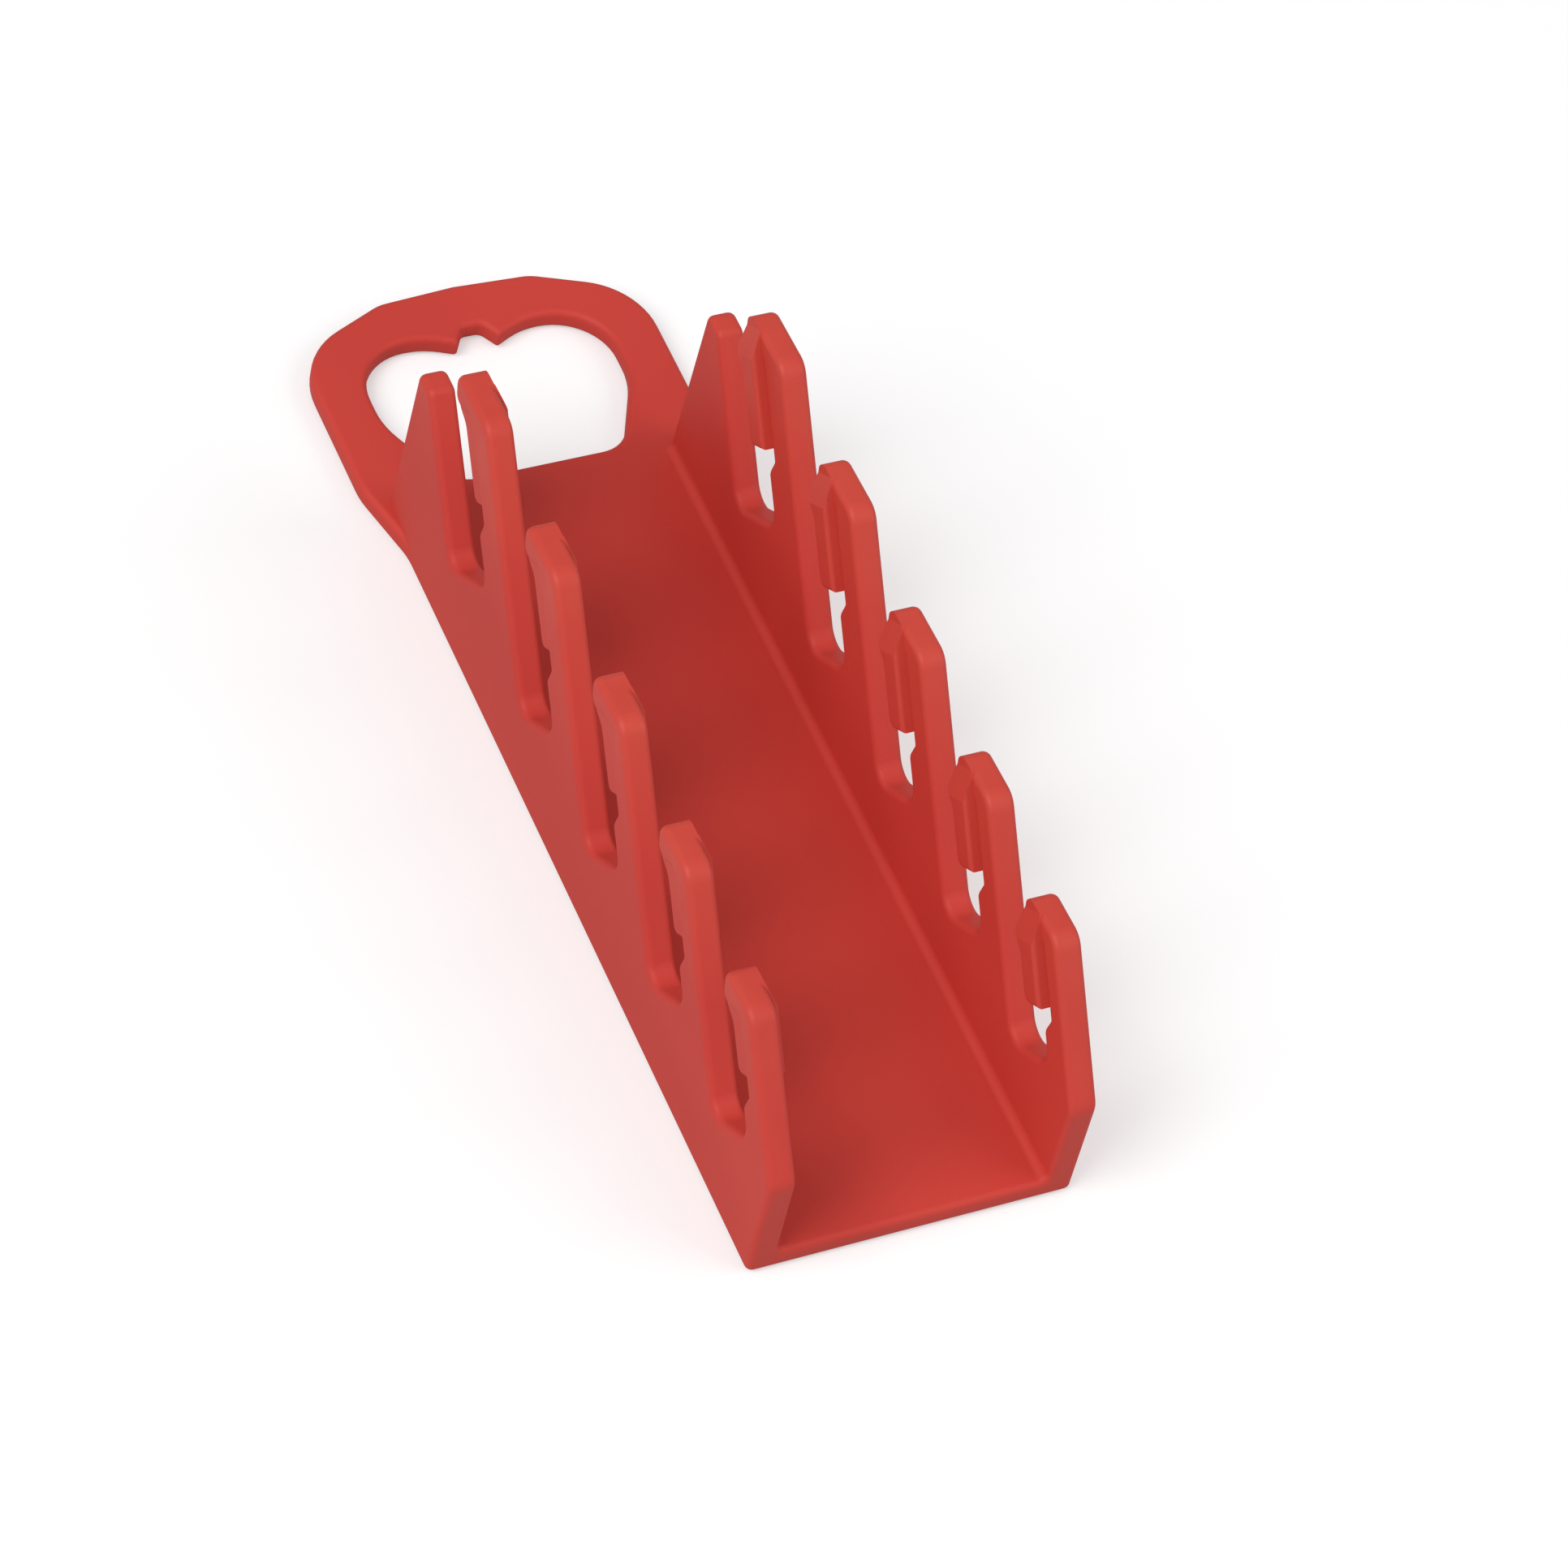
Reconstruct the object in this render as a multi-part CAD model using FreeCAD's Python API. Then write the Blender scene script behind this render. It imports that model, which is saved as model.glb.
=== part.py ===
import FreeCAD, Part
import math
import os

# A moulded plastic rack that holds a row of stubby wrenches between two comb-like side walls.
# Millimetres. It lies on its back: Z rises from the back face to the tips of the teeth,
# Y runs from the plain end to the carry handle, and X is across, with the middle at zero.
# The shapes are drawn with the plain end at Y = 0, and the finished rack is then moved
# so that the middle of its length is at zero too.

# Body of the rack
rackWidth = 44.2
wallThick = 3.8
baseThick = 3.0
coveRadius = 1.2
softEdge = 1.0
innerSoftEdge = 0.9
plateSoftEdge = 0.9
coveSeat = 0.3

# Slots and teeth, counted from the plain end
slotCount = 5
slantAngle = 37.0
slotFloorHeight = 12.0
slotFloorRadius = 2.6
lowSlotWidth = 9.8
slotWidthStep = 0.25
lowToothThick = 5.9
toothThickStep = 0.5
lowToothHeight = 35.6
toothHeightStep = 1.65
frontCornerHeight = 17.6
frontCornerRadius = 3.0
toothCrownRadius = 3.2
toothTipRadius = 1.5

# Gripping finger on the slot side of each tooth
lowFingerEndHeight = 23.5
fingerEndStep = 0.9
fingerStandout = 1.5
fingerSeat = 0.4
fingerInset = 0.6
fingerOverhang = 1.5
fingerSoftEdge = 0.6
fingerEndRadius = 1.15
overhangTopDrop = 2.0
overhangFullDrop = 5.8
tipStandout = 0.7
humpStandout = 3.0
humpDrop = 5.0
humpRadius = 1.8
rootDrop = 7.4
rootRadius = 2.0
headUnderDrop = 5.6
recessDepth = 2.1
recessGap = 1.7
padRamp = 1.8
recessRadius = 0.5
padRadius = 1.2

# Short horn that closes the slot nearest the handle
hornHeight = 30.8
hornClearance = 1.2
hornTopLength = 3.8
hornBackDraft = 4.0
hornCornerRadius = 1.3

# Carry handle and its opening
handleWidth = 49.6
handleReach = 33.75
handleCornerRadius = 11.0
handleBandWidth = 8.1
handleSideWidth = 6.9
flareLength = 11.0
flareOverlap = 3.0
flareRadius = 12.0
shoulderHalfWidth = 11.0
shoulderDrop = 6.45
crownDrop = 0.6
crownRadius = 6.0
openingGap = 1.0
openingTaper = 25.8
openingTaperLength = 12.8
openingFootRadius = 5.0
openingSideRadius = 12.0
openingCornerRadius = 8.4
lobeStartWidth = 7.2
lobeRadius = 11.0
cuspHalfWidth = 3.0
cuspDrop = 2.0
cuspRadius = 0.35
notchHalfWidth = 1.3
notchRise = 0.7
notchRadius = 1.2

slant = math.radians(slantAngle)


def tilted(across, along):
    # A point in the side view, from its distance across the slots and its height along them
    y = across * math.cos(slant) + along * math.sin(slant)
    z = along * math.cos(slant) - across * math.sin(slant)
    return (y, z)


def alongAtHeight(across, height):
    return (height + across * math.sin(slant)) / math.cos(slant)


def roundedWire(corners, place):
    # A closed outline with each corner rounded; a radius is limited by its two sides
    count = len(corners)
    points = [FreeCAD.Vector(corner[0], corner[1], 0) for corner in corners]
    radii = [corner[2] for corner in corners]
    trims = []
    for i in range(count):
        before = points[i - 1] - points[i]
        after = points[(i + 1) % count] - points[i]
        half = before.getAngle(after) / 2
        trims.append(radii[i] / math.tan(half))
    edges = []
    ends = []
    for i in range(count):
        before = points[i - 1] - points[i]
        after = points[(i + 1) % count] - points[i]
        half = before.getAngle(after) / 2
        shareBefore = before.Length * trims[i] / max(trims[i] + trims[i - 1], 1e-9)
        shareAfter = after.Length * trims[i] / max(trims[i] + trims[(i + 1) % count], 1e-9)
        trim = min(trims[i], 0.98 * shareBefore, 0.98 * shareAfter)
        if trim < 1e-4:
            ends.append((points[i], points[i]))
            edges.append(None)
            continue
        start = points[i] + before.normalize() * trim
        end = points[i] + after.normalize() * trim
        radius = trim * math.tan(half)
        middleWay = (before + after).normalize()
        middle = points[i] + middleWay * (radius / math.sin(half) - radius)
        edges.append(Part.Arc(place(start), place(middle), place(end)).toShape())
        ends.append((start, end))
    outline = []
    for i in range(count):
        if edges[i] is not None:
            outline.append(edges[i])
        here = ends[i][1]
        there = ends[(i + 1) % count][0]
        if here.distanceToPoint(there) > 1e-4:
            outline.append(Part.makeLine(place(here), place(there)))
    return Part.Wire(outline)


def sideView(x):
    return lambda point: FreeCAD.Vector(x, point.x, point.y)


def planView(z):
    return lambda point: FreeCAD.Vector(point.x, point.y, z)


def edgesInPlane(shape, axis, position, lowest):
    found = []
    for edge in shape.Edges:
        box = edge.BoundBox
        low = box.XMin if axis == "x" else box.ZMin
        high = box.XMax if axis == "x" else box.ZMax
        if abs(low - position) < 1e-4 and abs(high - position) < 1e-4 and box.ZMax > lowest:
            found.append(edge)
    return found


# Slot and tooth positions across the slots, worked out from the plain end
teeth = []
across = -frontCornerHeight * math.sin(slant)
for index in range(slotCount):
    front = across
    pad = front + lowToothThick + index * toothThickStep
    tipHeight = lowToothHeight + index * toothHeightStep
    fingerEndHeight = lowFingerEndHeight + index * fingerEndStep
    teeth.append({
        "front": front,
        "pad": pad,
        "tip": alongAtHeight(pad, tipHeight),
        "fingerEnd": alongAtHeight(pad + fingerStandout, fingerEndHeight),
    })
    across = pad + lowSlotWidth + index * slotWidthStep
hornFront = across + hornClearance
hornTopFront = tilted(hornFront, alongAtHeight(hornFront, hornHeight))
hornTopBack = hornTopFront[0] + hornTopLength
wallBottom = baseThick / 2
hornFootBack = hornTopBack + (hornHeight - wallBottom) * math.tan(math.radians(hornBackDraft))
handleTop = hornFootBack + handleReach


def corner(acrossPlace, alongPlace, radius):
    y, z = tilted(acrossPlace, alongPlace)
    return (y, z, radius)


def wallCorners():
    # Side outline of one wall, from the plain end up over the teeth to the horn and back.
    # Each slot floor is square to the slot, and its lower corner stands at the floor height.
    corners = [(0, wallBottom, 0)]
    for index, tooth in enumerate(teeth):
        pad = tooth["pad"]
        tip = tooth["tip"]
        crown = tip + (tooth["front"] - pad) * math.tan(slant)
        nextFront = teeth[index + 1]["front"] if index + 1 < slotCount else hornFront
        floor = alongAtHeight(nextFront, slotFloorHeight)
        if index == 0:
            corners.append((0, frontCornerHeight, frontCornerRadius))
        corners.append(corner(tooth["front"], crown, toothCrownRadius))
        corners.append(corner(pad + tipStandout, tip, toothTipRadius))
        corners.append(corner(pad + humpStandout, tip - humpDrop, humpRadius))
        corners.append(corner(pad - recessDepth, tip - headUnderDrop, recessRadius))
        corners.append(corner(pad - recessDepth, tooth["fingerEnd"] - recessGap, recessRadius))
        corners.append(corner(pad, tooth["fingerEnd"] - recessGap - padRamp, padRadius))
        corners.append(corner(pad, floor, slotFloorRadius))
        corners.append(corner(nextFront, floor, slotFloorRadius))
    corners.append((hornTopFront[0], hornHeight, hornCornerRadius))
    corners.append((hornTopBack, hornHeight, hornCornerRadius))
    corners.append((hornFootBack, wallBottom, 0))
    return corners


def fingerCorners(tooth):
    # Side outline of the finger, up into the head that it hangs from
    pad = tooth["pad"]
    tip = tooth["tip"]
    gripFace = pad + fingerStandout
    backFace = pad - recessDepth - fingerSeat
    tipAcross = pad + tipStandout
    crown = tip + (tooth["front"] - pad) * math.tan(slant)
    share = (backFace - tooth["front"]) / (tipAcross - tooth["front"])
    backTop = crown + share * (tip - crown)
    return [
        corner(backFace, tooth["fingerEnd"], 0),
        corner(backFace, backTop, 0),
        corner(tipAcross, tip, toothTipRadius),
        corner(pad + humpStandout, tip - humpDrop, humpRadius),
        corner(gripFace, tip - rootDrop, rootRadius),
        corner(gripFace, tooth["fingerEnd"], fingerEndRadius),
    ]


def soften(shape, edges, radius):
    return shape.makeFillet(radius, edges)


def makeWall():
    # The right wall with its fingers; the left one is its mirror image
    outerFace = rackWidth / 2
    innerFace = outerFace - wallThick
    outline = roundedWire(wallCorners(), sideView(innerFace))
    wall = Part.Face(outline).extrude(FreeCAD.Vector(wallThick, 0, 0))
    wall = soften(wall, edgesInPlane(wall, "x", outerFace, baseThick), softEdge)
    wall = soften(wall, edgesInPlane(wall, "x", innerFace, baseThick + innerSoftEdge), innerSoftEdge)
    return wall.fuse([makeFinger(tooth) for tooth in teeth])


def makeFinger(tooth):
    outerEnd = rackWidth / 2 - fingerInset
    innerFace = rackWidth / 2 - wallThick
    innerEnd = innerFace - fingerOverhang
    outline = roundedWire(fingerCorners(tooth), sideView(innerEnd))
    finger = Part.Face(outline).extrude(FreeCAD.Vector(outerEnd - innerEnd, 0, 0))
    loops = edgesInPlane(finger, "x", innerEnd, 0) + edgesInPlane(finger, "x", outerEnd, 0)
    finger = soften(finger, loops, fingerSoftEdge)
    # The overhang dies away towards the tip
    tip = tooth["tip"]
    start = tooth["front"] - wallThick
    ramp = [
        (innerFace, tip - overhangTopDrop),
        (innerEnd, tip - overhangFullDrop),
        (innerEnd - wallThick, tip - overhangFullDrop),
        (innerEnd - wallThick, tip + humpDrop),
        (innerFace, tip + humpDrop),
    ]
    corners = [FreeCAD.Vector(x, *tilted(start, along)) for x, along in ramp]
    reach = tooth["pad"] + 2 * humpStandout + wallThick - start
    sweep = FreeCAD.Vector(0, reach * math.cos(slant), -reach * math.sin(slant))
    wedge = Part.Face(Part.makePolygon(corners + corners[:1])).extrude(sweep)
    return finger.cut(wedge)


def mirrored(halfCorners):
    return halfCorners + [(-x, y, radius) for x, y, radius in reversed(halfCorners) if abs(x) > 1e-6]


def makePlate():
    # Base plate and carry handle are one flat plate with rounded edges
    half = rackWidth / 2
    handleHalf = handleWidth / 2
    outer = [
        (half, 0, softEdge),
        (half, hornFootBack + flareOverlap - flareLength, flareRadius),
        (handleHalf, hornFootBack + flareOverlap, flareRadius),
        (handleHalf, handleTop - shoulderDrop, handleCornerRadius),
        (shoulderHalfWidth, handleTop - crownDrop, crownRadius),
        (0, handleTop, 0),
    ]
    openingHalf = handleHalf - handleSideWidth
    openingTop = handleTop - handleBandWidth
    openingFoot = hornFootBack + openingGap
    taper = math.tan(math.radians(openingTaper))
    sideFoot = openingTop - openingTaperLength
    footHalf = openingHalf - (sideFoot - openingFoot) * taper
    opening = [
        (footHalf, openingFoot, openingFootRadius),
        (openingHalf, sideFoot, openingSideRadius),
        (openingHalf, openingTop, openingCornerRadius),
        (lobeStartWidth, openingTop, lobeRadius),
        (cuspHalfWidth, openingTop - cuspDrop, cuspRadius),
        (notchHalfWidth, openingTop + notchRise, notchRadius),
    ]
    plateFace = Part.Face(roundedWire(mirrored(outer), planView(0)))
    openingFace = Part.Face(roundedWire(mirrored(opening), planView(0)))
    plate = plateFace.cut(openingFace).extrude(FreeCAD.Vector(0, 0, baseThick))
    loops = edgesInPlane(plate, "z", 0, -1) + edgesInPlane(plate, "z", baseThick, 0)
    return soften(plate, loops, plateSoftEdge)


def makeCove():
    # Rounded inside corner between the right wall and the plate, with its plain end softened
    innerFace = rackWidth / 2 - wallThick
    root = baseThick - plateSoftEdge - coveSeat
    start = innerFace - coveRadius
    top = baseThick + coveRadius
    middle = coveRadius * (1 - math.sqrt(0.5))
    buried = innerFace + innerSoftEdge + coveSeat
    arc = Part.Arc(
        FreeCAD.Vector(start, 0, baseThick),
        FreeCAD.Vector(innerFace - middle, 0, baseThick + middle),
        FreeCAD.Vector(innerFace, 0, top),
    ).toShape()
    path = [(innerFace, top), (buried, top), (buried, root), (start, root), (start, baseThick)]
    points = [FreeCAD.Vector(x, 0, z) for x, z in path]
    sides = [Part.makeLine(points[i], points[i + 1]) for i in range(len(points) - 1)]
    profile = Part.Face(Part.Wire([arc] + sides))
    hornBack = hornTopBack + (hornHeight - top) * math.tan(math.radians(hornBackDraft))
    cove = profile.extrude(FreeCAD.Vector(0, hornBack - coveSeat, 0))
    rounds = []
    for edge in cove.Edges:
        if edge.BoundBox.YLength < 1e-6 and edge.Curve.TypeId == "Part::GeomCircle":
            rounds.append(edge)
    return soften(cove, rounds, innerSoftEdge)


def makeRack():
    wall = makeWall()
    cove = makeCove()
    mirrorPlane = (FreeCAD.Vector(0, 0, 0), FreeCAD.Vector(1, 0, 0))
    rack = makePlate().fuse([wall, cove, wall.mirror(*mirrorPlane), cove.mirror(*mirrorPlane)])
    rack = rack.removeSplitter()
    rack.translate(FreeCAD.Vector(0, -handleTop / 2, 0))
    return rack


os.makedirs("parts", exist_ok=True)
rack = makeRack()
rack.exportStep("parts/wrench_rack.step")
box = rack.BoundBox
print("wrench rack", round(box.XLength, 2), round(box.YLength, 2), round(box.ZLength, 2), "solids", len(rack.Solids))
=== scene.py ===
import bpy
import math
from mathutils import Euler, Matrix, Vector


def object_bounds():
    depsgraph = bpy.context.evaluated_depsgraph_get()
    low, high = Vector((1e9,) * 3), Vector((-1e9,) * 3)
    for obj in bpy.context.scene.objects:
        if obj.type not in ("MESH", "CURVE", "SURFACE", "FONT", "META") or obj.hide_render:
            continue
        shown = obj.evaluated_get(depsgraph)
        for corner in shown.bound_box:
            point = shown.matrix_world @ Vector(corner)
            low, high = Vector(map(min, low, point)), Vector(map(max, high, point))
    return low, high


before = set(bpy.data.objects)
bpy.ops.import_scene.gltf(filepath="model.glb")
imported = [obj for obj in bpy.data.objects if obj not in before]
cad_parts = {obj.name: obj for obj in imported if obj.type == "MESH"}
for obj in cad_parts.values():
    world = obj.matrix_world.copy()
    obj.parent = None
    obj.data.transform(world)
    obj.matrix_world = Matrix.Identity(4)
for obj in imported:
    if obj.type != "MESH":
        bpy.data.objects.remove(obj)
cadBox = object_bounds()
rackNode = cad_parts["wrench_rack"]
print("rack loaded")


# Camera, at the height and side the rack is seen from
camera = {
    "place": (-0.28764, -0.44974, 0.64790),
    "turn": (38.447, -9.259, -22.843),   # degrees, XYZ
    "lens": 149.07,                      # mm
    "frameWidth": 36.0,                  # mm
    "nearest": 0.01,
    "farthest": 20.0,
}


def addCamera(values):
    data = bpy.data.cameras.new("rackCamera")
    data.sensor_fit = "HORIZONTAL"
    data.sensor_width = values["frameWidth"]
    data.lens = values["lens"]
    data.clip_start = values["nearest"]
    data.clip_end = values["farthest"]
    view = bpy.data.objects.new("rackCamera", data)
    view.location = values["place"]
    view.rotation_euler = Euler([math.radians(angle) for angle in values["turn"]], "XYZ")
    bpy.context.scene.collection.objects.link(view)
    bpy.context.scene.camera = view


addCamera(camera)
print("camera set")


# Small helpers for node trees
def newGroup(name, sockets):
    # sockets: (name, value) for an input, (name, None) for an output
    group = bpy.data.node_groups.new(name, "ShaderNodeTree")
    for label, value in sockets:
        side = "OUTPUT" if value is None else "INPUT"
        socket = group.interface.new_socket(name=label, in_out=side, socket_type="NodeSocketFloat")
        if value is not None:
            socket.default_value = value
    return group


def addNode(tree, kind, inputs=None, **settings):
    node = tree.nodes.new(kind)
    for key, value in settings.items():
        setattr(node, key, value)
    for label, value in (inputs or {}).items():
        node.inputs[label].default_value = value
    return node


def join(tree, source, target):
    tree.links.new(source, target)


# Shader group: the fine texture of the mould, and the slow drift of tone over the moulding
mouldSkinValues = {
    "grainSize": 2600.0,
    "driftSize": 28.0,
    "grainDetail": 3.0,
    "grainRoughness": 0.62,
    "driftDetail": 2.0,
    "flow": (1.0, 0.35, 1.0),            # drawn out along the rack, as the melt ran
}


def makeMouldSkin(values):
    group = newGroup("mouldSkin", [
        ("Grain Size", values["grainSize"]),
        ("Drift Size", values["driftSize"]),
        ("Height", None),
        ("Drift", None),
    ])
    start = addNode(group, "NodeGroupInput")
    end = addNode(group, "NodeGroupOutput")
    coords = addNode(group, "ShaderNodeTexCoord")
    grain = addNode(group, "ShaderNodeTexNoise",
                    {"Detail": values["grainDetail"], "Roughness": values["grainRoughness"]})
    drift = addNode(group, "ShaderNodeTexNoise", {"Detail": values["driftDetail"]})
    flow = addNode(group, "ShaderNodeMapping", {"Scale": values["flow"]})
    join(group, coords.outputs["Object"], grain.inputs["Vector"])
    join(group, coords.outputs["Object"], flow.inputs["Vector"])
    join(group, flow.outputs["Vector"], drift.inputs["Vector"])
    join(group, start.outputs["Grain Size"], grain.inputs["Scale"])
    join(group, start.outputs["Drift Size"], drift.inputs["Scale"])
    join(group, grain.outputs["Fac"], end.inputs["Height"])
    join(group, drift.outputs["Fac"], end.inputs["Drift"])
    return group


# Shader group: where hands and tools rub, in patches that grow towards the tips of the teeth,
# together with a painted highlight that makes the upper parts of the teeth lighter
wornAndLitTipsValues = {
    "low": 0.018,                        # m, where the rub and the painted highlight start
    "high": 0.042,                       # m, the tips
    "patchSize": 160.0,
    "patchDetail": 4.0,
    "patchFrom": (0.35, 0.65),           # noise below and above this is the least and the most rub and painted highlight
    "leastWearAndHighlight": 0.55,
}


def makeWornAndLitTips(values):
    group = newGroup("wornAndLitTips", [
        ("Low", values["low"]),
        ("High", values["high"]),
        ("Patch Size", values["patchSize"]),
        ("Mask", None),
    ])
    start = addNode(group, "NodeGroupInput")
    end = addNode(group, "NodeGroupOutput")
    coords = addNode(group, "ShaderNodeTexCoord")
    split = addNode(group, "ShaderNodeSeparateXYZ")
    # Higher up is lighter: wear on the teeth, and a painted highlight on their tops
    height = addNode(group, "ShaderNodeMapRange", interpolation_type="SMOOTHSTEP")
    patch = addNode(group, "ShaderNodeTexNoise", {"Detail": values["patchDetail"]})
    patchy = addNode(group, "ShaderNodeMapRange", {
        "From Min": values["patchFrom"][0],
        "From Max": values["patchFrom"][1],
        "To Min": values["leastWearAndHighlight"],
    })
    both = addNode(group, "ShaderNodeMath", operation="MULTIPLY", use_clamp=True)
    join(group, coords.outputs["Object"], split.inputs["Vector"])
    join(group, split.outputs["Z"], height.inputs["Value"])
    join(group, start.outputs["Low"], height.inputs["From Min"])
    join(group, start.outputs["High"], height.inputs["From Max"])
    join(group, coords.outputs["Object"], patch.inputs["Vector"])
    join(group, start.outputs["Patch Size"], patch.inputs["Scale"])
    join(group, patch.outputs["Fac"], patchy.inputs["Value"])
    join(group, height.outputs["Result"], both.inputs[0])
    join(group, patchy.outputs["Result"], both.inputs[1])
    join(group, both.outputs["Value"], end.inputs["Mask"])
    return group


mouldSkin = makeMouldSkin(mouldSkinValues)
wornAndLitTips = makeWornAndLitTips(wornAndLitTipsValues)
print("shader groups made")


# Red plastic
redPlastic = {
    "deep": (0.545, 0.044, 0.034, 1.0),
    "color": (0.600, 0.054, 0.039, 1.0),
    # Lighter tone at the tips: partly wear, partly a painted highlight
    "rubbedAndLit": (0.610, 0.066, 0.044, 1.0),
    "driftFrom": (0.30, 0.60),           # noise that turns deep into color
    "roughness": 0.54,
    "rubbedRoughness": 0.44,
    "specular": 0.24,
    "grainDepth": 0.00003,               # m
    "grainStrength": 0.22,
}


def makeRedPlastic(values):
    material = bpy.data.materials.new("redPlastic")
    material.use_nodes = True
    tree = material.node_tree
    shader = tree.nodes["Principled BSDF"]
    shader.inputs["Specular IOR Level"].default_value = values["specular"]
    skin = addNode(tree, "ShaderNodeGroup", node_tree=mouldSkin)
    wearAndHighlight = addNode(tree, "ShaderNodeGroup", node_tree=wornAndLitTips)

    # Colour: the drift first, then the rub with its painted highlight over it
    spread = addNode(tree, "ShaderNodeMapRange",
                     {"From Min": values["driftFrom"][0], "From Max": values["driftFrom"][1]})
    tone = addNode(tree, "ShaderNodeMix", data_type="RGBA")
    tone.inputs["A"].default_value = values["deep"]
    tone.inputs["B"].default_value = values["color"]
    # The tips are mixed lighter: wear and a painted highlight
    wornAndLitTone = addNode(tree, "ShaderNodeMix", data_type="RGBA")
    wornAndLitTone.inputs["B"].default_value = values["rubbedAndLit"]
    join(tree, skin.outputs["Drift"], spread.inputs["Value"])
    join(tree, spread.outputs["Result"], tone.inputs["Factor"])
    join(tree, tone.outputs["Result"], wornAndLitTone.inputs["A"])
    join(tree, wearAndHighlight.outputs["Mask"], wornAndLitTone.inputs["Factor"])
    join(tree, wornAndLitTone.outputs["Result"], shader.inputs["Base Color"])

    # Rubbed plastic is a little smoother
    gloss = addNode(tree, "ShaderNodeMapRange",
                    {"To Min": values["roughness"], "To Max": values["rubbedRoughness"]})
    join(tree, wearAndHighlight.outputs["Mask"], gloss.inputs["Value"])
    join(tree, gloss.outputs["Result"], shader.inputs["Roughness"])

    bump = addNode(tree, "ShaderNodeBump",
                   {"Strength": values["grainStrength"], "Distance": values["grainDepth"]})
    join(tree, skin.outputs["Height"], bump.inputs["Height"])
    join(tree, bump.outputs["Normal"], shader.inputs["Normal"])
    return material


plastic = makeRedPlastic(redPlastic)
for slot in rackNode.material_slots:
    slot.material = plastic
print("plastic mixed and applied")


# Floor: pale, and white where the camera sees it, with the rack's shadow kept
floorValues = {
    "size": 6.0,
    "drop": 0.0002,                      # m below the flat back, so that the two don't coincide
    "color": (0.62, 0.62, 0.62, 1.0),
    "roughness": 0.8,
    "specular": 0.1,
    "glow": 0.42,                        # for the camera alone
}


def addFloor(values):
    half = values["size"] / 2
    low = cadBox[0][2] - values["drop"]
    mesh = bpy.data.meshes.new("floor")
    corners = [(-half, -half, low), (half, -half, low), (half, half, low), (-half, half, low)]
    mesh.from_pydata(corners, [], [(0, 1, 2, 3)])
    floor = bpy.data.objects.new("floor", mesh)
    bpy.context.scene.collection.objects.link(floor)
    paint = bpy.data.materials.new("floorPaint")
    paint.use_nodes = True
    tree = paint.node_tree
    shader = tree.nodes["Principled BSDF"]
    shader.inputs["Base Color"].default_value = values["color"]
    shader.inputs["Roughness"].default_value = values["roughness"]
    shader.inputs["Specular IOR Level"].default_value = values["specular"]
    path = addNode(tree, "ShaderNodeLightPath")
    gain = addNode(tree, "ShaderNodeMath", {1: values["glow"]}, operation="MULTIPLY")
    glow = addNode(tree, "ShaderNodeEmission")
    both = addNode(tree, "ShaderNodeAddShader")
    join(tree, path.outputs["Is Camera Ray"], gain.inputs[0])
    join(tree, gain.outputs["Value"], glow.inputs["Strength"])
    join(tree, shader.outputs["BSDF"], both.inputs[0])
    join(tree, glow.outputs["Emission"], both.inputs[1])
    join(tree, both.outputs["Shader"], tree.nodes["Material Output"].inputs["Surface"])
    mesh.materials.append(paint)


# Lights: a soft key from the left, a weaker fill from the right, a breath from above
lights = {
    "worldStrength": 0.38,
    "worldSeen": 1.0,                    # plain white where the camera looks past the floor
    "aim": (0.0, 0.0, 0.02),
    "lamps": [                           # name, place, size in m, power in W
        ("keyLamp", (-0.95, -0.25, 1.05), 0.9, 13.5),
        ("fillLamp", (0.95, -0.60, 0.80), 1.0, 6.0),
        ("topLamp", (0.00, 0.00, 1.50), 0.9, 1.0),
    ],
}


def addWorld(values):
    world = bpy.data.worlds.new("studioWorld")
    world.use_nodes = True
    tree = world.node_tree
    back = tree.nodes["Background"]
    back.inputs["Color"].default_value = (1.0, 1.0, 1.0, 1.0)
    path = addNode(tree, "ShaderNodeLightPath")
    level = addNode(tree, "ShaderNodeMapRange",
                    {"To Min": values["worldStrength"], "To Max": values["worldSeen"]})
    join(tree, path.outputs["Is Camera Ray"], level.inputs["Value"])
    join(tree, level.outputs["Result"], back.inputs["Strength"])
    bpy.context.scene.world = world


def addLamps(values):
    for name, place, size, power in values["lamps"]:
        data = bpy.data.lights.new(name, "AREA")
        data.size = size
        data.energy = power
        lamp = bpy.data.objects.new(name, data)
        lamp.location = place
        aim = Vector(values["aim"]) - Vector(place)
        lamp.rotation_euler = aim.to_track_quat("-Z", "Y").to_euler()
        bpy.context.scene.collection.objects.link(lamp)


addFloor(floorValues)
addWorld(lights)
addLamps(lights)
bpy.context.scene.view_settings.view_transform = "Standard"
print("floor and lights set")
